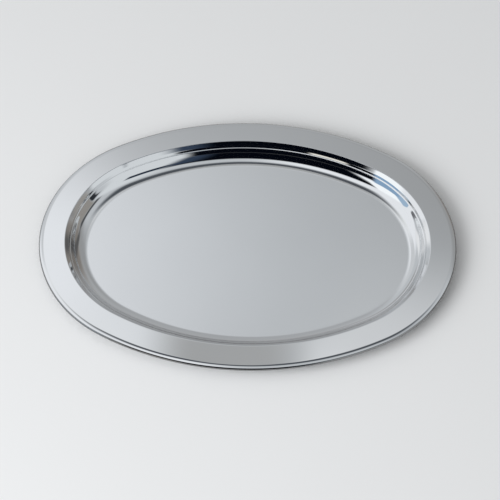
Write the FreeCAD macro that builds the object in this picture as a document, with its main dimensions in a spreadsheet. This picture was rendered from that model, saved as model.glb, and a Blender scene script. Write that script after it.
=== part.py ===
"""Oval serving tray of pressed stainless sheet, with its edge rolled round a steel wire.

Frame: origin under the middle of the base, +X along the tray, +Y across it, +Z up, millimetres.
The tray stands on the underside of its floor, at Z = 0.

Every outline seen from above is an oval of four tangent arcs: two end arcs centred on X and two
side arcs centred on Y. All of them share the same four centres, so the rim, the wall and the
floor stay parallel. The sheet and the wire are revolved about those centres.
"""
import FreeCAD
import Part
import math
import os
import Sketcher

# Driving sizes: name, value, what it is. Lengths in millimetres, angles in degrees.
SIZES = [
    ("overall_length", 500.0, "outline, end to end"),
    ("overall_width", 370.0, "outline, side to side"),
    ("end_tightness", 23.0, "how much less than half the width the end arcs' radius is"),
    ("sheet_thickness", 1.0, "stainless sheet"),
    ("bead_radius", 2.4, "outside radius of the rolled edge"),
    ("lip_gap", 0.4, "between the roll's lip and the underside of the rim's outer strip"),
    ("wire_clearance", 0.05, "all round the wire inside the roll"),
    ("edge_strip", 2.0, "centre of the roll to the corner where the rim turns down towards it"),
    ("edge_fall_angle", 20.0, "slope of the outer strip beyond that corner"),
    ("edge_fall_bend", 10.0, "inside radius of the blend between the strip and the rim"),
    ("rim_width", 31.5, "outline to the shoulder's corner"),
    ("rim_fall_angle", 1.5, "slope of the rim, down towards the outside"),
    ("shoulder_bend", 0.6, "inside radius of the bend from the rim into the facet"),
    ("facet_width", 4.2, "chamfer-like facet below the rim"),
    ("facet_drop", 3.8, "height of the facet"),
    ("riser_bend", 2.0, "inside radius of the bend from the facet into the riser"),
    ("riser_width", 1.4, "short steep riser below the facet"),
    ("riser_drop", 2.4, "height of the riser"),
    ("crease_bend", 0.8, "inside radius of the hollow bend between the riser and the ledge"),
    ("ledge_width", 1.1, "narrow ledge at the crease"),
    ("ledge_drop", 0.5, "fall of the ledge"),
    ("ledge_bend", 0.6, "inside radius of the bend from the ledge into the wall"),
    ("wall_angle", 54.0, "slope of the wall from the horizontal"),
    ("cove_bend", 21.0, "inside radius of the sweep from the wall into the floor"),
    ("cove_margin", 2.0, "flat floor carried by the pressed ring"),
    ("well_depth", 18.5, "rim's inner edge down to the floor"),
]

# Sizes worked out from the driving ones, as formulas of the sheet.
DERIVED = [
    ("half_length", "overall_length / 2"),
    ("half_width", "overall_width / 2"),
    ("end_radius", "half_width - end_tightness"),
    ("end_centre", "half_length - end_radius"),
    ("side_radius", "(end_centre ^ 2 + half_width ^ 2 - end_radius ^ 2) / (2 * (half_width - end_radius))"),
    ("side_centre", "side_radius - half_width"),
    ("end_sweep", "2 * atan(side_centre / end_centre) / 1 deg"),
    ("side_sweep", "180 - end_sweep"),
    ("side_axis", "-side_centre"),
    ("shoulder_height", "sheet_thickness + well_depth"),
    ("edge_inset", "bead_radius + edge_strip"),
    ("edge_height", "shoulder_height - (rim_width - edge_inset) * tan(rim_fall_angle)"),
    ("facet_inset", "rim_width + facet_width"),
    ("facet_height", "shoulder_height - facet_drop"),
    ("crease_inset", "facet_inset + riser_width"),
    ("crease_height", "facet_height - riser_drop"),
    ("ledge_inset", "crease_inset + ledge_width"),
    ("ledge_height", "crease_height - ledge_drop"),
    ("floor_corner_inset", "ledge_inset + (ledge_height - sheet_thickness) / tan(wall_angle)"),
    ("floor_inset", "floor_corner_inset + cove_bend * tan(wall_angle / 2) + cove_margin"),
    ("lip_rise", "asin((bead_radius - sheet_thickness - lip_gap) / bead_radius) / 1 deg"),
    ("lip_angle", "edge_fall_angle + lip_rise"),
    ("roll_inner_radius", "bead_radius - sheet_thickness"),
    ("wire_radius", "roll_inner_radius - wire_clearance"),
]

# Corners of the sheet's upper face in section, from the outside in: inset from the outline,
# height, inside radius of the bend, and whether the upper face is convex there.
CORNERS = [
    ("edge_inset", "edge_height", "edge_fall_bend", True),
    ("rim_width", "shoulder_height", "shoulder_bend", True),
    ("facet_inset", "facet_height", "riser_bend", True),
    ("crease_inset", "crease_height", "crease_bend", False),
    ("ledge_inset", "ledge_height", "ledge_bend", True),
    ("floor_corner_inset", "sheet_thickness", "cove_bend", False),
]

START, END, CENTRE = 1, 2, 3          # the numbers that a sketch gives to a curve's points
ORIGIN, X_AXIS, Y_AXIS = -1, -1, -2   # and to its own origin and axes

doc = FreeCAD.newDocument("oval_serving_tray")
sheet = doc.addObject("Spreadsheet::Sheet", "Sizes")


def fill_sheet():
    """Write the driving sizes as plain numbers and the derived ones as formulas."""
    rows = [(name, str(value), note) for name, value, note in SIZES]
    rows += [(name, "=" + formula, "worked out") for name, formula in DERIVED]
    for row, (name, content, note) in enumerate(rows, start=1):
        sheet.set("A%d" % row, name)
        sheet.set("B%d" % row, content)
        sheet.set("C%d" % row, note)
        sheet.setAlias("B%d" % row, name)
    doc.recompute()


def size(name):
    """The sheet's present value of a named size, as a plain number."""
    return float(sheet.get(name))


def origin_plane(body, role):
    """One of the body's own origin planes, found by its role."""
    return next(item for item in body.Origin.OriginFeatures if item.Role == role)


def new_sketch(body, name, role):
    """An empty sketch on one of the body's own origin planes."""
    sketch = body.newObject("Sketcher::SketchObject", name)
    sketch.AttachmentSupport = (origin_plane(body, role), [""])
    sketch.MapMode = "FlatFace"
    return sketch


def rule(sketch, kind, *items):
    """Add a constraint with no size."""
    sketch.addConstraint(Sketcher.Constraint(kind, *items))


def bind(sketch, name, formula, kind, *items):
    """Add a named constraint and bind its size to a formula of the sheet."""
    index = sketch.addConstraint(Sketcher.Constraint(kind, *items))
    sketch.renameConstraint(index, name)
    sketch.setExpression("Constraints." + name, formula)


def sheet_formula(formula):
    """The same formula with every sheet name written in full."""
    names = [name for name, *_ in SIZES + DERIVED]
    words = formula.split(" ")
    return " ".join("Sizes." + word if word in names else word for word in words)


def oval_sketch(body, name, inset):
    """The four-arc oval, drawn inward from the outline by the named inset."""
    sketch = new_sketch(body, name, "XY_Plane")
    end_radius = size("end_radius") - size(inset)
    side_radius = size("side_radius") - size(inset)
    end_half = math.radians(size("end_sweep") / 2)
    up = FreeCAD.Vector(0, 0, 1)

    def arc(x, y, radius, first, last):
        circle = Part.Circle(FreeCAD.Vector(x, y, 0), up, radius)
        return sketch.addGeometry(Part.ArcOfCircle(circle, first, last), False)

    right = arc(size("end_centre"), 0, end_radius, -end_half, end_half)
    back = arc(0, -size("side_centre"), side_radius, end_half, math.pi - end_half)
    left = arc(-size("end_centre"), 0, end_radius, math.pi - end_half, math.pi + end_half)
    front = arc(0, size("side_centre"), side_radius, math.pi + end_half, 2 * math.pi - end_half)

    for first, second in ((right, back), (back, left), (left, front), (front, right)):
        rule(sketch, "Tangent", first, END, second, START)
    rule(sketch, "PointOnObject", right, CENTRE, X_AXIS)
    rule(sketch, "PointOnObject", back, CENTRE, Y_AXIS)
    rule(sketch, "Symmetric", right, CENTRE, left, CENTRE, ORIGIN, START)
    rule(sketch, "Symmetric", back, CENTRE, front, CENTRE, ORIGIN, START)
    rule(sketch, "Equal", right, left)
    bind(sketch, "end_centre", "Sizes.end_centre", "DistanceX", ORIGIN, START, right, CENTRE,
         size("end_centre"))
    bind(sketch, "side_centre", "Sizes.side_centre", "DistanceY", ORIGIN, START, front, CENTRE,
         size("side_centre"))
    bind(sketch, "end_radius", sheet_formula("end_radius - %s" % inset), "Radius", right, end_radius)
    return sketch


def turn_axis(sketch, centre):
    """The upright construction line that a section is revolved about."""
    foot = FreeCAD.Vector(size(centre), 0, 0)
    top = FreeCAD.Vector(size(centre), size("shoulder_height"), 0)
    axis = sketch.addGeometry(Part.LineSegment(foot, top), True)
    rule(sketch, "Vertical", axis)
    rule(sketch, "PointOnObject", axis, START, X_AXIS)
    bind(sketch, "axis_place", "Sizes." + centre, "DistanceX", ORIGIN, START, axis, START, size(centre))
    bind(sketch, "axis_height", "Sizes.shoulder_height", "DistanceY", axis, START, axis, END,
         size("shoulder_height"))


def unit(start, end):
    """The direction from one point to another."""
    return (end - start).normalize()


def left_of(direction):
    """The direction a quarter turn to the left."""
    return FreeCAD.Vector(-direction.y, direction.x, 0)


def bead_centre(outline, corner):
    """Where the roll's centre lies, so that it touches the outline and the rim's outer strip."""
    angle = math.radians(size("edge_fall_angle"))
    radius = size("bead_radius")
    x = outline - radius
    line_height = corner.y - (x - corner.x) * math.tan(angle)
    return FreeCAD.Vector(x, line_height - radius / math.cos(angle), 0)


def face_chain(sketch, points, radii, convex):
    """Straight runs joined by tangent bends, along one face of the sheet from the outside in."""
    up = FreeCAD.Vector(0, 0, 1)
    starts = [points[0]]
    bends = []
    ends = []
    for before, corner, after, radius, bulge in zip(points, points[1:], points[2:], radii, convex):
        arriving = unit(before, corner)
        leaving = unit(corner, after)
        turn = arriving.getAngle(leaving)
        tangent = radius * math.tan(turn / 2)
        first = corner - arriving * tangent
        last = corner + leaving * tangent
        side = 1 if bulge else -1
        centre = first + left_of(arriving) * (radius * side)
        begin, finish = (first, last) if bulge else (last, first)
        angle_a = math.atan2(begin.y - centre.y, begin.x - centre.x)
        angle_b = math.atan2(finish.y - centre.y, finish.x - centre.x)
        if angle_b < angle_a:
            angle_b += 2 * math.pi
        bends.append(Part.ArcOfCircle(Part.Circle(centre, up, radius), angle_a, angle_b))
        ends.append(first)
        starts.append(last)
    ends.append(points[-1])
    lines = [sketch.addGeometry(Part.LineSegment(a, b), False) for a, b in zip(starts, ends)]
    arcs = [sketch.addGeometry(bend, False) for bend in bends]
    for index, arc in enumerate(arcs):
        into, out = (START, END) if convex[index] else (END, START)
        rule(sketch, "Tangent", lines[index], END, arc, into)
        rule(sketch, "Tangent", arc, out, lines[index + 1], START)
    return lines, arcs


def sheet_section(body, name, role, half, centre):
    """Closed section of the pressed ring: rolled edge, rim, shoulder, crease, wall and cove."""
    sketch = new_sketch(body, name, role)
    turn_axis(sketch, centre)
    outline = size(half)
    thickness = size("sheet_thickness")
    edge_angle = math.radians(size("edge_fall_angle"))
    convex = [bulge for *_, bulge in CORNERS]
    bends = [size(bend) for _, _, bend, _ in CORNERS]

    # Upper face: its corners as points, with the outer strip's start and the floor's end.
    corners = [FreeCAD.Vector(outline - size(inset), size(height), 0) for inset, height, *_ in CORNERS]
    hub = bead_centre(outline, corners[0])
    outward = FreeCAD.Vector(math.sin(edge_angle), math.cos(edge_angle), 0)
    floor_end = FreeCAD.Vector(outline - size("floor_inset"), thickness, 0)
    upper = [hub + outward * size("bead_radius")] + corners + [floor_end]
    upper_radii = [bend + thickness if bulge else bend for bend, bulge in zip(bends, convex)]

    # Lower face: the same corners moved square to both runs by the sheet's thickness.
    lower = [hub + outward * size("roll_inner_radius")]
    for before, corner, after in zip(upper, upper[1:], upper[2:]):
        square_in = left_of(unit(before, corner))
        square_out = left_of(unit(corner, after))
        lower.append(corner + (square_in + square_out) * (thickness / (1 + square_in.dot(square_out))))
    lower.append(FreeCAD.Vector(floor_end.x, 0, 0))
    lower_radii = [bend if bulge else bend + thickness for bend, bulge in zip(bends, convex)]

    upper_lines, upper_arcs = face_chain(sketch, upper, upper_radii, convex)
    lower_lines, lower_arcs = face_chain(sketch, lower, lower_radii, convex)

    # Rolled edge: two concentric arcs from the lip, under the rim, round to the outer strip.
    up = FreeCAD.Vector(0, 0, 1)
    lip = -math.pi - math.radians(size("lip_angle"))
    rolled = math.pi / 2 - edge_angle
    outer_roll = sketch.addGeometry(
        Part.ArcOfCircle(Part.Circle(hub, up, size("bead_radius")), lip, rolled), False)
    inner_roll = sketch.addGeometry(
        Part.ArcOfCircle(Part.Circle(hub, up, size("roll_inner_radius")), lip, rolled), False)
    toward_lip = FreeCAD.Vector(math.cos(lip), math.sin(lip), 0)
    lip_edge = sketch.addGeometry(
        Part.LineSegment(hub + toward_lip * size("roll_inner_radius"),
                         hub + toward_lip * size("bead_radius")), False)
    ring_edge = sketch.addGeometry(Part.LineSegment(floor_end, lower[-1]), False)

    rule(sketch, "Tangent", outer_roll, END, upper_lines[0], START)
    rule(sketch, "Tangent", inner_roll, END, lower_lines[0], START)
    rule(sketch, "Coincident", outer_roll, CENTRE, inner_roll, CENTRE)
    rule(sketch, "Coincident", lip_edge, START, inner_roll, START)
    rule(sketch, "Coincident", lip_edge, END, outer_roll, START)
    rule(sketch, "PointOnObject", outer_roll, CENTRE, lip_edge)
    bind(sketch, "lip_angle", "180 - Sizes.lip_angle", "Angle", lip_edge,
         math.radians(180 - size("lip_angle")))
    bind(sketch, "bead_radius", "Sizes.bead_radius", "Radius", outer_roll, size("bead_radius"))
    bind(sketch, "roll_inner_radius", "Sizes.roll_inner_radius", "Radius", inner_roll,
         size("roll_inner_radius"))
    bind(sketch, "bead_place", "Sizes.%s - Sizes.bead_radius" % half, "DistanceX", ORIGIN, START,
         outer_roll, CENTRE, hub.x)

    # The floor's end, where the ring meets the flat floor, and the underside that it stands on.
    rule(sketch, "Vertical", ring_edge)
    rule(sketch, "Coincident", ring_edge, START, upper_lines[-1], END)
    rule(sketch, "Coincident", ring_edge, END, lower_lines[-1], END)
    rule(sketch, "PointOnObject", ring_edge, END, X_AXIS)
    rule(sketch, "Horizontal", upper_lines[-1])
    bind(sketch, "floor_end", "Sizes.%s - Sizes.floor_inset" % half, "DistanceX", ORIGIN, START,
         ring_edge, END, floor_end.x)

    # Slopes of the outer strip and the wall.
    bind(sketch, "edge_fall_angle", "180 - Sizes.edge_fall_angle", "Angle", upper_lines[0],
         math.pi - edge_angle)
    bind(sketch, "wall_angle", "Sizes.wall_angle - 180", "Angle", upper_lines[-2],
         math.radians(size("wall_angle")) - math.pi)

    # Corners: the two runs beside each pass through it, and both bends share one centre.
    for index, (inset, height, bend, bulge) in enumerate(CORNERS):
        inside, outside = (lower_arcs, upper_arcs) if bulge else (upper_arcs, lower_arcs)
        corner = sketch.addGeometry(Part.Point(corners[index]), True)
        rule(sketch, "PointOnObject", corner, START, upper_lines[index])
        rule(sketch, "PointOnObject", corner, START, upper_lines[index + 1])
        rule(sketch, "Coincident", upper_arcs[index], CENTRE, lower_arcs[index], CENTRE)
        bind(sketch, "inside_%d" % index, "Sizes." + bend, "Radius", inside[index], size(bend))
        bind(sketch, "outside_%d" % index, "Sizes.%s + Sizes.sheet_thickness" % bend, "Radius",
             outside[index], size(bend) + thickness)
        last = index == len(CORNERS) - 1
        if not last:
            bind(sketch, "inset_%d" % index, "Sizes.%s - Sizes.%s" % (half, inset), "DistanceX",
                 ORIGIN, START, corner, START, corners[index].x)
        bind(sketch, "height_%d" % index, "Sizes." + height, "DistanceY", ORIGIN, START,
             corner, START, corners[index].y)
    return sketch


def wire_section(body, name, role, half, centre):
    """Round section of the wire, centred in the rolled edge."""
    sketch = new_sketch(body, name, role)
    turn_axis(sketch, centre)
    corner = FreeCAD.Vector(size(half) - size("edge_inset"), size("edge_height"), 0)
    hub = bead_centre(size(half), corner)
    circle = sketch.addGeometry(Part.Circle(hub, FreeCAD.Vector(0, 0, 1), size("wire_radius")), False)
    bind(sketch, "wire_radius", "Sizes.wire_radius", "Radius", circle, size("wire_radius"))
    bind(sketch, "wire_place", "Sizes.%s - Sizes.bead_radius" % half, "DistanceX", ORIGIN, START,
         circle, CENTRE, hub.x)
    fall = "Sizes.edge_height - Sizes.edge_strip * tan(Sizes.edge_fall_angle)"
    bind(sketch, "wire_height", fall + " - Sizes.bead_radius / cos(Sizes.edge_fall_angle)",
         "DistanceY", ORIGIN, START, circle, CENTRE, hub.y)
    return sketch


def revolved(body, name, section, sweep):
    """Revolve a section about its own upright axis, half the sweep to each side of its plane."""
    feature = body.newObject("PartDesign::Revolution", name)
    feature.Profile = section
    feature.ReferenceAxis = (section, ["Axis0"])
    feature.Midplane = True
    feature.setExpression("Angle", "Sizes." + sweep)
    body.Tip = feature
    doc.recompute()
    return feature


def mirrored(body, name, feature, role):
    """The same feature on the opposite side of one of the body's origin planes."""
    mirror = body.newObject("PartDesign::Mirrored", name)
    mirror.Originals = [feature]
    mirror.MirrorPlane = (origin_plane(body, role), [""])
    body.Tip = mirror
    doc.recompute()
    return mirror


def round_the_oval(body, section):
    """Carry a section round the whole oval: end arc, side arc, and their mirror images."""
    end = section(body, body.Name + "_end_section", "XZ_Plane", "half_length", "end_centre")
    end_arc = revolved(body, body.Name + "_end_arc", end, "end_sweep")
    side = section(body, body.Name + "_side_section", "YZ_Plane", "half_width", "side_axis")
    side_arc = revolved(body, body.Name + "_side_arc", side, "side_sweep")
    mirrored(body, body.Name + "_other_end", end_arc, "YZ_Plane")
    mirrored(body, body.Name + "_other_side", side_arc, "XZ_Plane")


def tray_sheet():
    """The pressed sheet: a flat oval floor with the formed ring all round it."""
    body = doc.addObject("PartDesign::Body", "tray_sheet")
    body.Label = "tray_sheet"
    outline = oval_sketch(body, "floor_outline", "floor_inset")
    floor = body.newObject("PartDesign::Pad", "floor_plate")
    floor.Profile = outline
    floor.setExpression("Length", "Sizes.sheet_thickness")
    body.Tip = floor
    doc.recompute()
    round_the_oval(body, sheet_section)
    return body


def edge_wire():
    """The reinforcing wire that the sheet's edge is rolled round."""
    body = doc.addObject("PartDesign::Body", "edge_wire")
    body.Label = "edge_wire"
    round_the_oval(body, wire_section)
    return body


def check(bodies):
    """Stop if any object failed to recompute or any piece isn't one sound solid."""
    for item in doc.Objects:
        if "Invalid" in item.State or "Error" in item.State:
            raise RuntimeError("%s failed: %s" % (item.Name, item.State))
    for body in bodies:
        shape = body.Shape
        if shape.isNull() or not shape.isValid() or len(shape.Solids) != 1:
            raise RuntimeError("%s isn't one sound solid" % body.Label)


fill_sheet()
pieces = [tray_sheet(), edge_wire()]
doc.recompute()
check(pieces)
os.makedirs("parts", exist_ok=True)
for piece in pieces:
    piece.Shape.exportStep(os.path.join("parts", piece.Label + ".step"))
    box = piece.Shape.optimalBoundingBox(False)
    print("%s: %.1f x %.1f x %.1f mm, %.1f cm3" % (
        piece.Label, box.XLength, box.YLength, box.ZLength, piece.Shape.Volume / 1000))
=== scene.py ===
"""Oval serving tray in mirror-polished stainless steel, laid on a pale table in a soft studio.

The tray's sheet and the wire in its rolled edge are swept round the same four-arc oval as the
packed part, finely enough for clean reflections, and stand for the part's own nodes.
"""
import math

import bpy
from bpy.props import FloatProperty, FloatVectorProperty, PointerProperty
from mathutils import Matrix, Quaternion, Vector


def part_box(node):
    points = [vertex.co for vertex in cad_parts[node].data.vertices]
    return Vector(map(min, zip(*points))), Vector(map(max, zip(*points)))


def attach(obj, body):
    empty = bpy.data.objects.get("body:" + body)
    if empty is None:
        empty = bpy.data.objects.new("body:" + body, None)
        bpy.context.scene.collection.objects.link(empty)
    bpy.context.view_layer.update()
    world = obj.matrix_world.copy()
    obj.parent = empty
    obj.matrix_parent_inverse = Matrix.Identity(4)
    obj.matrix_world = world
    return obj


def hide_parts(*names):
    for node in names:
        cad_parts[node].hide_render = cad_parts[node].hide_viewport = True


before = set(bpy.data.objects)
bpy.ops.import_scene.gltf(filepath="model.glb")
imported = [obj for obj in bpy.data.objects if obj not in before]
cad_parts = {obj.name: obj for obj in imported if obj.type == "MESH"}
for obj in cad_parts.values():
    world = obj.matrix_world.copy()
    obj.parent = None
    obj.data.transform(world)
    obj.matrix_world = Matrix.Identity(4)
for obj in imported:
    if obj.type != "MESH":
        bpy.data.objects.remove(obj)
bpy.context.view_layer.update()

bl_info = {
    "name": "Oval serving tray",
    "version": (1, 0, 0),
    "blender": (4, 5, 0),
    "location": "3D View > Sidebar > Tray",
    "description": "Builds a polished oval serving tray and the studio it is shown in",
    "category": "Add Mesh",
}

_, SHEET_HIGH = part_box("tray_sheet")
MM = 0.001

# How finely the pieces are divided: steps of each end arc and each side arc of the oval, then
# steps round the roll's outside and inside, and round the wire.
SHEET_OVAL_STEPS = (150, 130)
WIRE_OVAL_STEPS = (120, 100)
ROLL_OUTSIDE_STEPS = 40
ROLL_INSIDE_STEPS = 24
WIRE_STEPS = 16
FLOOR_RINGS = (0.001, 0.004, 0.012, 0.03, 0.06)    # inward from the cove's foot

# Places over the section, in metres from the roll's lip inward over the top. The underside's
# places are counted from UNDERSIDE_FROM, well past the last of the top's.
UNDERSIDE_FROM = 1.0
UNDERSIDE_BLEND = 0.02
COVE_BLEND = 0.016       # over which the wall's polish softens to the floor's
ROLL_BLEND = 0.4 * MM    # over which the rim's polish dulls to the roll's, and the roll's painted shade comes in


def length(label, note, default):
    """A length in metres that a user would change."""
    return FloatProperty(name=label, description=note, default=default, unit="LENGTH", precision=4)


def angle(label, note, degrees):
    """An angle that a user would change, given in degrees."""
    return FloatProperty(name=label, description=note, default=math.radians(degrees),
                         unit="ROTATION")


def factor(label, note, default):
    """A plain amount from nought to one."""
    return FloatProperty(name=label, description=note, default=default, min=0.0, max=1.0,
                         subtype="FACTOR")


def colour(label, note, default):
    """A linear colour."""
    return FloatVectorProperty(name=label, description=note, default=default, subtype="COLOR",
                               size=3, min=0.0, max=1.0)


class TrayShape(bpy.types.PropertyGroup):
    """Sizes of the pressed sheet, measured inward from the outline and down from the rim."""
    half_length: length("Half length", "Middle to the end of the outline", SHEET_HIGH[0])
    half_width: length("Half width", "Middle to the side of the outline", SHEET_HIGH[1])
    end_radius: length("End radius", "Radius of the outline's two end arcs", 162 * MM)
    thickness: length("Sheet", "Thickness of the sheet", 1 * MM)
    roll_radius: length("Roll radius", "Outside radius of the rolled edge", 2.4 * MM)
    lip_gap: length("Lip gap", "Between the roll's lip and the rim's underside", 0.4 * MM)
    wire_clearance: length("Wire clearance", "All round the wire in the roll", 0.05 * MM)
    edge_strip: length("Edge strip", "Roll's centre to the rim's turned-down corner", 2 * MM)
    edge_fall_angle: angle("Edge fall", "Slope of the strip beyond that corner", 20)
    edge_fall_bend: length("Edge fall bend", "Inside radius of its blend", 10 * MM)
    rim_width: length("Rim width", "Outline to the shoulder's corner", 31.5 * MM)
    rim_fall_angle: angle("Rim fall", "Slope of the rim, down to the outside", 1.5)
    shoulder_bend: length("Shoulder bend", "Inside radius from rim to facet", 0.6 * MM)
    facet_width: length("Facet width", "Facet below the rim", 4.2 * MM)
    facet_drop: length("Facet drop", "Height of the facet", 3.8 * MM)
    riser_bend: length("Riser bend", "Inside radius from facet to riser", 2 * MM)
    riser_width: length("Riser width", "Steep riser below the facet", 1.4 * MM)
    riser_drop: length("Riser drop", "Height of the riser", 2.4 * MM)
    crease_bend: length("Crease bend", "Inside radius of the crease", 0.8 * MM)
    ledge_width: length("Ledge width", "Narrow ledge at the crease", 1.1 * MM)
    ledge_drop: length("Ledge drop", "Fall of the ledge", 0.5 * MM)
    ledge_bend: length("Ledge bend", "Inside radius from ledge to wall", 0.6 * MM)
    wall_angle: angle("Wall", "Slope of the wall from the horizontal", 54)
    cove_bend: length("Cove bend", "Inside radius from wall to floor", 21 * MM)
    well_depth: length("Well depth", "Rim's inner edge down to the floor", 18.5 * MM)


class TrayFinish(bpy.types.PropertyGroup):
    """Colour and polish of the steel."""
    steel: colour("Steel", "Reflectance of the polished steel", (0.76, 0.765, 0.77))
    # Painted shade: the roll's dark colour stands in for the shade along the tray's edge; only its
    # roughness is a duller finish.
    roll_painted_shade: colour("Roll steel", "Reflectance of the duller edge", (0.28, 0.28, 0.28))
    wire_steel: colour("Wire steel", "Reflectance of the drawn wire", (0.50, 0.50, 0.51))
    mirror_roughness: factor("Mirror roughness", "Roughness of the rim and the wall", 0.035)
    floor_roughness: factor("Floor roughness", "Roughness of the well's floor", 0.10)
    roll_roughness: factor("Roll roughness", "Roughness that the duller edge adds", 0.10)
    under_roughness: factor("Underside roughness", "Roughness of the unpolished side", 0.28)


class StudioSettings(bpy.types.PropertyGroup):
    """Camera and table."""
    camera_elevation: angle("Elevation", "Camera's height above the horizon", 52.8)
    camera_turn: angle("Turn", "Camera's turn towards the tray's right", 3.05)
    camera_roll: angle("Roll", "Camera's roll", -0.6)
    camera_distance: length("Distance", "Camera to the middle of the rim", 2.25)
    lens: FloatProperty(name="Lens", description="Focal length in mm on 36 mm film",
                        default=135.4, unit="CAMERA")
    aim_right: length("Aim right", "Aim point right of the rim's middle", 3.0 * MM)
    aim_down: length("Aim down", "Aim point below the rim's middle in the view", 12.6 * MM)
    table: colour("Table", "Colour of the table", (0.82, 0.83, 0.84))


# --- Shader maths -------------------------------------------------------------------------


class Signal:
    """A number that varies over a surface: a shader socket that takes part in arithmetic."""

    def __init__(self, graph, socket):
        self.graph = graph
        self.socket = socket

    def math(self, operation, *others):
        """A Math node on this number and any others."""
        node = self.graph.add("ShaderNodeMath", {"operation": operation},
                              dict(enumerate((self, *others))))
        return Signal(self.graph, node.outputs[0])

    def __add__(self, other):
        return self.math("ADD", other)

    __radd__ = __add__

    def __sub__(self, other):
        return self.math("SUBTRACT", other)

    def __rsub__(self, other):
        return self.math("MULTIPLY", -1.0) + other

    def __mul__(self, other):
        return self.math("MULTIPLY", other)

    __rmul__ = __mul__

    def step(self, start, end):
        """Smooth step from 0 at start to 1 at end; start may be the larger."""
        node = self.graph.add("ShaderNodeMapRange", {"interpolation_type": "SMOOTHSTEP"},
                              {"Value": self, "From Min": start, "From Max": end})
        return Signal(self.graph, node.outputs["Result"])


class Graph:
    """A node tree that is built up by calls."""

    def __init__(self, owner):
        owner.use_nodes = True
        self.tree = owner.node_tree
        self.tree.nodes.clear()

    def add(self, kind, settings=None, sockets=None):
        """Add a node: first its settings, then the values or links of its sockets."""
        node = self.tree.nodes.new(kind)
        for name, value in (settings or {}).items():
            setattr(node, name, value)
        for name, value in (sockets or {}).items():
            target = node.inputs[name]
            value = getattr(value, "socket", value)
            if isinstance(value, bpy.types.NodeSocket):
                self.tree.links.new(value, target)
            else:
                target.default_value = value
        return node

    def signal(self, node, output):
        """One output of a node, ready for arithmetic."""
        return Signal(self, node.outputs[output])

    def axes(self, vector):
        """The three numbers of a vector."""
        node = self.add("ShaderNodeSeparateXYZ", None, {"Vector": vector})
        return [self.signal(node, axis) for axis in "XYZ"]

    def noise(self, vector, scale, detail):
        """Soft random variation about a half."""
        node = self.add("ShaderNodeTexNoise", None,
                        {"Vector": vector, "Scale": scale, "Detail": detail})
        return self.signal(node, "Fac")

    def mix(self, amount, first, second):
        """First colour where amount is 0, second where it is 1."""
        node = self.add("ShaderNodeMix", {"data_type": "RGBA"},
                        {"Factor": amount, "A": rgba(first), "B": rgba(second)})
        return node.outputs["Result"]


def rgba(value):
    """A colour socket's value: a link as it is, three numbers with an alpha of one."""
    if hasattr(value, "socket") or isinstance(value, bpy.types.NodeSocket):
        return value
    return (*value, 1.0)


# --- Geometry of the tray -----------------------------------------------------------------


class Oval:
    """The outline of four tangent arcs, sampled all the way round."""

    def __init__(self, shape, end_steps, side_steps):
        end, half_length, half_width = shape.end_radius, shape.half_length, shape.half_width
        centre = half_length - end
        side = (centre ** 2 + half_width ** 2 - end ** 2) / (2 * (half_width - end))
        drop = side - half_width
        turn = math.atan2(drop, centre)
        arcs = [
            ((centre, 0), end, -turn, turn, end_steps),
            ((0, -drop), side, turn, math.pi - turn, side_steps),
            ((-centre, 0), end, math.pi - turn, math.pi + turn, end_steps),
            ((0, drop), side, math.pi + turn, 2 * math.pi - turn, side_steps),
        ]
        self.stations = []
        for (x, y), radius, first, last, steps in arcs:
            for step in range(steps):
                way = first + (last - first) * step / steps
                outward = Vector((math.cos(way), math.sin(way), 0))
                self.stations.append((Vector((x, y, 0)) + outward * radius, outward))
        points = [place for place, _ in self.stations]
        self.along = [0.0]
        for before, after in zip(points, points[1:] + points[:1]):
            self.along.append(self.along[-1] + (after - before).length)

    def ring(self, inset, height):
        """One closed loop of points, inward from the outline and at a height."""
        lift = Vector((0, 0, height))
        return [place - outward * inset + lift for place, outward in self.stations]


def round_bend(before, corner, after, radius, steps):
    """The points of a bend of a given radius that rounds off one corner of a section."""
    arriving = (corner - before).normalized()
    leaving = (after - corner).normalized()
    turn = arriving.angle_signed(leaving)
    tangent = radius * math.tan(abs(turn) / 2)
    first = corner - arriving * tangent
    last = corner + leaving * tangent
    bisector = (leaving - arriving).normalized()
    centre = corner + bisector * (radius / math.cos(turn / 2))
    start = first - centre
    sweep = start.angle_signed(last - centre)
    return [centre + turned(start, sweep * (step / steps)) for step in range(steps + 1)]


def turned(vector, clockwise):
    """A flat vector turned clockwise, as angle_signed measures it."""
    cos, sin = math.cos(clockwise), math.sin(clockwise)
    return Vector((vector.x * cos + vector.y * sin, vector.y * cos - vector.x * sin))


def run(start, end):
    """Points of a straight run with one near each end, which keeps its shading flat."""
    reach = (end - start).length
    margin = min(0.0006, reach / 4) / reach
    return [start.lerp(end, margin), start.lerp(end, 1 - margin)]


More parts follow.
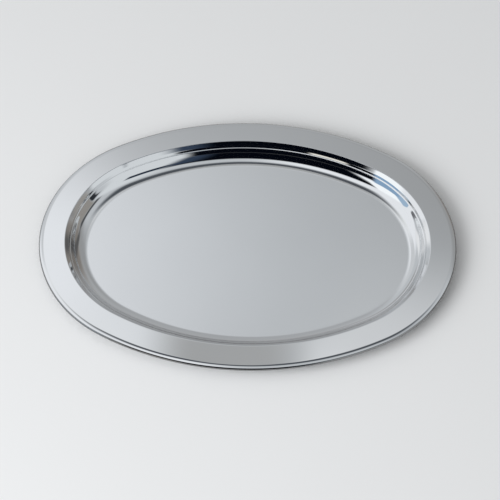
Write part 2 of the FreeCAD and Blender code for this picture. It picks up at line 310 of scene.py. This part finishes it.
class Section:
    """The sheet's section: inset from the outline across, height up."""

    def __init__(self, shape):
        self.shape = shape
        top = shape.thickness + shape.well_depth
        edge_inset = shape.roll_radius + shape.edge_strip
        fall = (shape.rim_width - edge_inset) * math.tan(shape.rim_fall_angle)
        facet = (shape.rim_width + shape.facet_width, top - shape.facet_drop)
        crease = (facet[0] + shape.riser_width, facet[1] - shape.riser_drop)
        ledge = (crease[0] + shape.ledge_width, crease[1] - shape.ledge_drop)
        floor_corner = ledge[0] + (ledge[1] - shape.thickness) / math.tan(shape.wall_angle)
        self.floor_inset = floor_corner + shape.cove_bend * math.tan(shape.wall_angle / 2)
        corners = [(edge_inset, top - fall), (shape.rim_width, top), facet, crease, ledge,
                   (floor_corner, shape.thickness), (self.floor_inset + 0.002, shape.thickness)]
        self.corners = [Vector(corner) for corner in corners]
        self.bulges = (True, True, True, False, True, False)
        self.bends = (shape.edge_fall_bend, shape.shoulder_bend, shape.riser_bend,
                      shape.crease_bend, shape.ledge_bend, shape.cove_bend)
        self.steps = (8, 10, 8, 8, 8, 36)

    def roll_centre(self):
        """Centre of the rolled edge, tangent to the outline and to the falling strip."""
        slope = self.shape.edge_fall_angle
        first = self.corners[0]
        height = first.y - (first.x - self.shape.roll_radius) * math.tan(slope)
        return Vector((self.shape.roll_radius, height - self.shape.roll_radius / math.cos(slope)))

    def face(self, upper):
        """One face of the sheet, from the roll to the flat floor."""
        slope = self.shape.edge_fall_angle
        outward = Vector((-math.sin(slope), math.cos(slope)))
        depth = 0.0 if upper else self.shape.thickness
        corners = [self.roll_centre() + outward * self.shape.roll_radius] + self.corners
        path = [corners[0] - outward * depth]
        for before, corner, after in zip(corners, corners[1:], corners[2:]):
            down_in = square_down(before, corner)
            down_out = square_down(corner, after)
            path.append(corner + (down_in + down_out) * (depth / (1 + down_in.dot(down_out))))
        path.append(corners[-1] - Vector((0, depth)))
        points = [path[0]]
        for index, (bend, bulge) in enumerate(zip(self.bends, self.bulges)):
            radius = bend + self.shape.thickness if bulge == upper else bend
            rounded = round_bend(path[index], path[index + 1], path[index + 2], radius,
                                 self.steps[index])
            points += run(points[-1], rounded[0]) + rounded
        return points + run(points[-1], path[-1]) + [path[-1]]

    def roll(self, radius, steps):
        """One face of the roll, from the falling strip round under the rim to the lip."""
        shape = self.shape
        centre = self.roll_centre()
        lip = math.asin((shape.roll_radius - shape.thickness - shape.lip_gap) / shape.roll_radius)
        first = math.pi / 2 + shape.edge_fall_angle
        last = 2 * math.pi + shape.edge_fall_angle + lip
        points = []
        for step in range(steps + 1):
            way = first + (last - first) * step / steps
            points.append(centre + Vector((math.cos(way), math.sin(way))) * radius)
        return points


def square_down(start, end):
    """The direction square to a run of the section, on the sheet's underside."""
    way = (end - start).normalized()
    return Vector((way.y, -way.x))


def swept_mesh(name, rings, along, across, closed):
    """A smooth mesh through rings of points; across gives each ring's place over the section."""
    count = len(rings[0])
    verts = [point for ring in rings for point in ring]
    faces = []
    cells = []           # each face corner's place: round the oval, then over the section
    pairs = list(zip(range(len(rings)), range(1, len(rings))))
    if closed:
        pairs.append((len(rings) - 1, 0))
    for first, second in pairs:
        for step in range(count):
            after = (step + 1) % count
            faces.append((first * count + step, first * count + after,
                          second * count + after, second * count + step))
            far = across[second] if second else across[-1]
            cells += [(along[step], across[first]), (along[step + 1], across[first]),
                      (along[step + 1], far), (along[step], far)]
    if not closed:
        for ring, flip in ((0, True), (len(rings) - 1, False)):
            loop = [ring * count + step for step in range(count)]
            order = loop[::-1] if flip else loop
            faces.append(order)
            cells += [(along[index % count], across[ring]) for index in order]
    mesh = bpy.data.meshes.new(name)
    mesh.from_pydata(verts, [], faces)
    layer = mesh.uv_layers.new(name="around_and_across")
    layer.uv.foreach_set("vector", [number for cell in cells for number in cell])
    mesh.shade_smooth()
    mesh.update()
    piece = bpy.data.objects.new(name, mesh)
    bpy.context.collection.objects.link(piece)
    return piece


# --- Materials ----------------------------------------------------------------------------


def new_material(name):
    """An empty material and the graph of its nodes."""
    material = bpy.data.materials.new(name)
    return material, Graph(material)


def polished_steel(finish, roll_end, cove_start, cove_end):
    """Mirror-polished steel with buffing lines, a softer floor, a duller roll and underside, and
    painted shade: the roll's colour is darkened for the shade along the edge.
    """
    material, graph = new_material("polished_steel")
    place = graph.add("ShaderNodeTexCoord").outputs["Object"]
    sheet_place = graph.add("ShaderNodeUVMap", {"uv_map": "around_and_across"}).outputs["UV"]
    around, across, _ = graph.axes(sheet_place)

    on_floor = across.step(cove_start, cove_end)
    under = across.step(UNDERSIDE_FROM - UNDERSIDE_BLEND, UNDERSIDE_FROM)
    on_roll = across.step(roll_end, roll_end - ROLL_BLEND)
    floor_here = on_floor * (1 - under)

    lines_at = graph.add("ShaderNodeCombineXYZ", None, {"X": around * 2.0, "Y": across * 1500.0})
    lines = graph.noise(lines_at.outputs[0], 1.0, 3.0)
    haze = graph.noise(place, 9.0, 3.0)
    swell = graph.noise(place, 14.0, 1.0)

    polished = finish.mirror_roughness + haze * 0.01
    roughness = (polished + floor_here * (finish.floor_roughness - finish.mirror_roughness)
                 + on_roll * finish.roll_roughness + under * finish.under_roughness)
    relief = lines * 0.0000012 + swell * 0.00002
    steel = graph.mix(haze, [v * 0.95 for v in finish.steel], finish.steel)
    bump = graph.add("ShaderNodeBump", None,
                     {"Strength": 1.0, "Distance": 1.0, "Height": relief})
    shader = graph.add("ShaderNodeBsdfPrincipled", None, {
        # Painted shade: the roll takes a dark colour that stands in for the shade along the edge.
        "Base Color": graph.mix(on_roll, steel, finish.roll_painted_shade),
        "Metallic": 1.0, "Roughness": roughness, "Normal": bump.outputs["Normal"]})
    graph.add("ShaderNodeOutputMaterial", None, {"Surface": shader.outputs[0]})
    return material


def drawn_wire_steel(finish):
    """Plain drawn wire: dull steel with lines along its length."""
    material, graph = new_material("drawn_wire")
    place = graph.add("ShaderNodeUVMap", {"uv_map": "around_and_across"}).outputs["UV"]
    around, across, _ = graph.axes(place)
    lines_at = graph.add("ShaderNodeCombineXYZ", None, {"X": around * 8.0, "Y": across * 9000.0})
    lines = graph.noise(lines_at.outputs[0], 1.0, 2.0)
    bump = graph.add("ShaderNodeBump", None,
                     {"Strength": 1.0, "Distance": 1.0, "Height": lines * 0.000008})
    shader = graph.add("ShaderNodeBsdfPrincipled", None, {
        "Base Color": graph.mix(lines, [v * 0.8 for v in finish.wire_steel], finish.wire_steel),
        "Metallic": 1.0, "Roughness": 0.3 + lines * 0.15, "Normal": bump.outputs["Normal"]})
    graph.add("ShaderNodeOutputMaterial", None, {"Surface": shader.outputs[0]})
    return material


def table_paper(studio):
    """Plain pale paper with the faintest mottle."""
    material, graph = new_material("table_paper")
    place = graph.add("ShaderNodeTexCoord").outputs["Object"]
    mottle = graph.noise(place, 6.0, 2.0)
    shader = graph.add("ShaderNodeBsdfPrincipled", None, {
        "Base Color": graph.mix(mottle, [v * 0.99 for v in studio.table], studio.table),
        "Roughness": 0.9, "Specular IOR Level": 0.1})
    graph.add("ShaderNodeOutputMaterial", None, {"Surface": shader.outputs[0]})
    return material


# --- Pieces -------------------------------------------------------------------------------


class TRAY_OT_sheet(bpy.types.Operator):
    """Build the pressed sheet: floor, cove, wall, crease, shoulder, rim and rolled edge"""
    bl_idname = "tray.sheet"
    bl_label = "Tray sheet"

    def execute(self, context):
        shape = context.scene.tray_shape
        section = Section(shape)
        oval = Oval(shape, *SHEET_OVAL_STEPS)
        upper = section.face(True)
        lower = section.face(False)
        outer = section.roll(shape.roll_radius, ROLL_OUTSIDE_STEPS)
        inner = section.roll(shape.roll_radius - shape.thickness, ROLL_INSIDE_STEPS)
        top_floor = [upper[-1] + Vector((inward, 0)) for inward in FLOOR_RINGS]
        under_floor = [lower[-1] + Vector((inward, 0)) for inward in FLOOR_RINGS]

        top_side = top_floor[::-1] + upper[::-1] + outer[1:]
        under_side = inner[:0:-1] + lower + under_floor
        from_middle = reaches(top_side)
        whole = from_middle[-1]
        across = [whole - reach for reach in from_middle]
        across += [UNDERSIDE_FROM + reach for reach in reaches(under_side)]
        cove_end = whole - (top_floor[-1].x - section.floor_inset)
        rings = [oval.ring(point.x, point.y) for point in top_side + under_side]
        piece = swept_mesh("tray_sheet_polished", rings, oval.along, across, False)
        piece.data.materials.append(polished_steel(
            context.scene.tray_finish, reaches(outer)[-1], cove_end - COVE_BLEND, cove_end))
        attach(piece, "root")
        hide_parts("tray_sheet")
        return {"FINISHED"}


def reaches(points):
    """Distance of each point along a path."""
    found = [0.0]
    for before, after in zip(points, points[1:]):
        found.append(found[-1] + (after - before).length)
    return found


class TRAY_OT_wire(bpy.types.Operator):
    """Build the steel wire inside the rolled edge"""
    bl_idname = "tray.wire"
    bl_label = "Edge wire"

    def execute(self, context):
        shape = context.scene.tray_shape
        section = Section(shape)
        oval = Oval(shape, *WIRE_OVAL_STEPS)
        radius = shape.roll_radius - shape.thickness - shape.wire_clearance
        hub = section.roll_centre()
        turns = [2 * math.pi * step / WIRE_STEPS for step in range(WIRE_STEPS)]
        rings = [oval.ring(hub.x + radius * math.cos(-way), hub.y + radius * math.sin(-way))
                 for way in turns]
        across = [radius * way for way in turns]
        piece = swept_mesh("edge_wire_drawn", rings, oval.along, across, True)
        piece.data.materials.append(drawn_wire_steel(context.scene.tray_finish))
        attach(piece, "root")
        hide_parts("edge_wire")
        return {"FINISHED"}


class TRAY_OT_stage(bpy.types.Operator):
    """Lay the table, light the studio and set up the camera"""
    bl_idname = "tray.stage"
    bl_label = "Table, light and camera"

    def execute(self, context):
        studio = context.scene.tray_studio
        lay_table(context, studio)
        light_studio(context)
        place_camera(context, studio)
        context.scene.view_settings.view_transform = "Standard"
        return {"FINISHED"}


def lay_table(context, studio):
    """A wide pale table just under the tray."""
    reach = 12.0
    mesh = bpy.data.meshes.new("table")
    corners = [(-reach, -reach, 0), (reach, -reach, 0), (reach, reach, 0), (-reach, reach, 0)]
    mesh.from_pydata(corners, [], [(0, 1, 2, 3)])
    table = bpy.data.objects.new("table", mesh)
    context.collection.objects.link(table)
    table.data.materials.append(table_paper(studio))


# What the steel reflects: soft-edged cards hung all round the tray, each over the ones before it.
# Edges are in degrees: aside from the middle to left and right, and the pitch from the far
# horizon, 0, over the top, 90, to the horizon behind the camera, 180. Then how soft the edges are
# aside and in pitch, and the colour.
CARD_BACKDROP = (0.62, 0.65, 0.68)
CARDS = {
    "bright_left": (-120, -5, 42, 200, 6, 8, (1.00, 1.03, 1.07)),
    "dimmer_left": (-33, -14, 34, 56, 3, 5, (0.71, 0.735, 0.76)),
    "dim_far": (-10, 120, 16, 49, 8, 4, (0.47, 0.485, 0.50)),
    "dim_right": (3, 120, 37, 56, 7, 8, (0.37, 0.38, 0.387)),
    "low_far": (-40, 24, -20, 15, 6, 3, (0.42, 0.425, 0.43)),
    "low_right": (24, 120, -20, 36, 10, 10, (0.27, 0.25, 0.23)),
    "dark_gap_low": (40, 51, -20, 44, 4, 6, (0.12, 0.12, 0.12)),
    "front_left_glow": (-30, -5.2, 59, 72, 2, 4, (0.95, 0.98, 1.00)),
    "front_right_glow": (1, 10, 56, 72, 2, 4, (0.78, 0.80, 0.82)),
    "front_glint": (0.5, 2.4, 59.5, 70, 0.8, 2, (0.98, 1.00, 1.02)),
    "brown_far_right": (60, 120, -20, 88, 3, 6, (0.345, 0.33, 0.31)),
    "dark_gap_right": (49, 59, 42, 94, 3, 6, (0.09, 0.095, 0.10)),
    "pale_card_right": (16, 64, 94, 200, 8, 6, (0.80, 0.84, 0.87)),
    "dark_far_right": (70, 120, 90, 126, 4, 6, (0.03, 0.035, 0.04)),
    "soft_arch": (-20, 24, 65, 87, 9, 6, (0.085, 0.095, 0.11)),
    "notch": (-5.0, 0.1, 57.5, 72, 1.2, 1.5, (0.46, 0.47, 0.475)),
    "window": (-120, -36, 105, 143, 3, 6, (1.20, 1.25, 1.28)),
    "window_side": (-120, -70, 98, 142, 3, 4, (0.42, 0.58, 0.76)),
    "window_foot": (-120, -45, 140, 200, 3, 3, (0.30, 0.46, 0.66)),
    "dark_behind": (-36, 18, 109, 152, 3, 3, (0.001, 0.002, 0.005)),
    "dark_behind_low": (-47, 20, 150, 200, 3, 3, (0.001, 0.002, 0.005)),
    "dark_behind_right": (14, 25, 162, 200, 2, 3, (0.001, 0.002, 0.005)),
    "blue_black": (12, 21, 114, 150, 4, 4, (0.04, 0.06, 0.10)),
    "wedge_root": (19, 36, 113, 125.5, 2.5, 1.5, (0.03, 0.045, 0.07)),
    "dark_low_left": (-120, -78, -20, 42, 4, 8, (0.19, 0.195, 0.21)),
    "warm_lamp": (-35.5, -22, 167, 200, 1.5, 2, (0.95, 0.93, 0.86)),
    "pale_left_low": (-64, -47, 14, 44, 4, 5, (0.98, 1.00, 1.02)),
}

# The light on the table, apart from what the steel reflects: a gradient that is brightest towards
# one side, a lamp, and the plain colour that the camera sees past the table.
DAYLIGHT_FROM = (-0.62, -0.68, 0.40)
DAYLIGHT_REACH = (-0.5, 0.95)    # cosines to that direction where it starts and is full
DAYLIGHT_DIM = (0.175, 0.17, 0.158)
DAYLIGHT_BRIGHT = (0.92, 0.93, 0.94)
CAMERA_BACKDROP = (0.80, 0.81, 0.82)
LAMP_PLACE = (-1.7, -1.5, 1.5)
LAMP_SIZE = (2.0, 1.4)
LAMP_WATTS = 49.0


def light_studio(context):
    """Soft light from the left, and a studio of cards for the steel to reflect."""
    world = bpy.data.worlds.new("studio")
    context.scene.world = world
    graph = Graph(world)
    towards = graph.add("ShaderNodeTexCoord").outputs["Generated"]
    x, y, z = graph.axes(towards)
    pitch = z.math("ARCTAN2", y) * math.degrees(1)
    aside = x.math("ARCSINE") * math.degrees(1)
    reflected = CARD_BACKDROP
    for left, right, low, high, soft_aside, soft_pitch, tint in CARDS.values():
        across = between(aside, left, right, soft_aside)
        upward = between(pitch, low, high, soft_pitch)
        reflected = graph.mix(across * upward, reflected, tint)
    facing = graph.add("ShaderNodeVectorMath", {"operation": "DOT_PRODUCT"},
                       {0: towards, 1: Vector(DAYLIGHT_FROM).normalized()})
    window_side = graph.signal(facing, "Value").step(*DAYLIGHT_REACH)
    daylight = graph.mix(window_side, DAYLIGHT_DIM, DAYLIGHT_BRIGHT)
    path = graph.add("ShaderNodeLightPath")
    indirect = graph.mix(graph.signal(path, "Is Glossy Ray"), daylight, reflected)
    sky = graph.mix(graph.signal(path, "Is Camera Ray"), indirect, CAMERA_BACKDROP)
    background = graph.add("ShaderNodeBackground", None, {"Color": sky, "Strength": 1.0})
    graph.add("ShaderNodeOutputWorld", None, {"Surface": background.outputs[0]})

    lamp = bpy.data.lights.new("soft_window", "AREA")
    lamp.shape = "RECTANGLE"
    lamp.size, lamp.size_y = LAMP_SIZE
    lamp.energy = LAMP_WATTS
    lamp_object = bpy.data.objects.new("soft_window", lamp)
    context.collection.objects.link(lamp_object)
    lamp_object.location = LAMP_PLACE
    lamp_object.rotation_euler = (-lamp_object.location).to_track_quat("-Z", "Y").to_euler()
    lamp_object.visible_glossy = False
    lamp_object.visible_camera = False


def between(signal, start, end, soft):
    """One between two values and nought outside them, with soft edges."""
    return signal.step(start - soft, start + soft) * signal.step(end + soft, end - soft)


def place_camera(context, studio):
    """The camera looks down on the tray from in front, slightly to the right."""
    rise, turn = studio.camera_elevation, studio.camera_turn
    level = math.cos(rise)
    back = Vector((math.sin(turn) * level, -math.cos(turn) * level, math.sin(rise)))
    right = Vector((math.cos(turn), math.sin(turn), 0))
    up = back.cross(right)
    middle = Vector((0, 0, context.scene.tray_shape.well_depth))
    camera_data = bpy.data.cameras.new("camera")
    camera_data.lens = studio.lens
    camera_data.sensor_width = 36.0
    camera = bpy.data.objects.new("camera", camera_data)
    context.collection.objects.link(camera)
    camera.location = middle + back * studio.camera_distance
    aim = middle + right * studio.aim_right - up * studio.aim_down
    look = (aim - camera.location).to_track_quat("-Z", "Y")
    camera.rotation_mode = "QUATERNION"
    camera.rotation_quaternion = look @ Quaternion((0, 0, 1), studio.camera_roll)
    context.scene.camera = camera


class TRAY_PT_panel(bpy.types.Panel):
    """Lists the tray's pieces and settings"""
    bl_idname = "TRAY_PT_panel"
    bl_label = "Oval serving tray"
    bl_space_type = "VIEW_3D"
    bl_region_type = "UI"
    bl_category = "Tray"

    def draw(self, context):
        layout = self.layout
        for step in STEPS:
            layout.operator(step.bl_idname)
        for group, kind in GROUPS.items():
            box = layout.box()
            box.label(text=kind.__doc__)
            for name in kind.__annotations__:
                box.prop(getattr(context.scene, group), name)


GROUPS = {"tray_shape": TrayShape, "tray_finish": TrayFinish, "tray_studio": StudioSettings}
STEPS = (TRAY_OT_sheet, TRAY_OT_wire, TRAY_OT_stage)
CLASSES = (*GROUPS.values(), *STEPS, TRAY_PT_panel)


def register():
    for item in CLASSES:
        bpy.utils.register_class(item)
    for name, kind in GROUPS.items():
        setattr(bpy.types.Scene, name, PointerProperty(type=kind))


def unregister():
    for name in GROUPS:
        delattr(bpy.types.Scene, name)
    for item in reversed(CLASSES):
        bpy.utils.unregister_class(item)


def main():
    """Register the add-on and run its operators in order."""
    register()
    bpy.ops.tray.sheet()
    bpy.ops.tray.wire()
    bpy.ops.tray.stage()


if __name__ == "__main__":
    main()
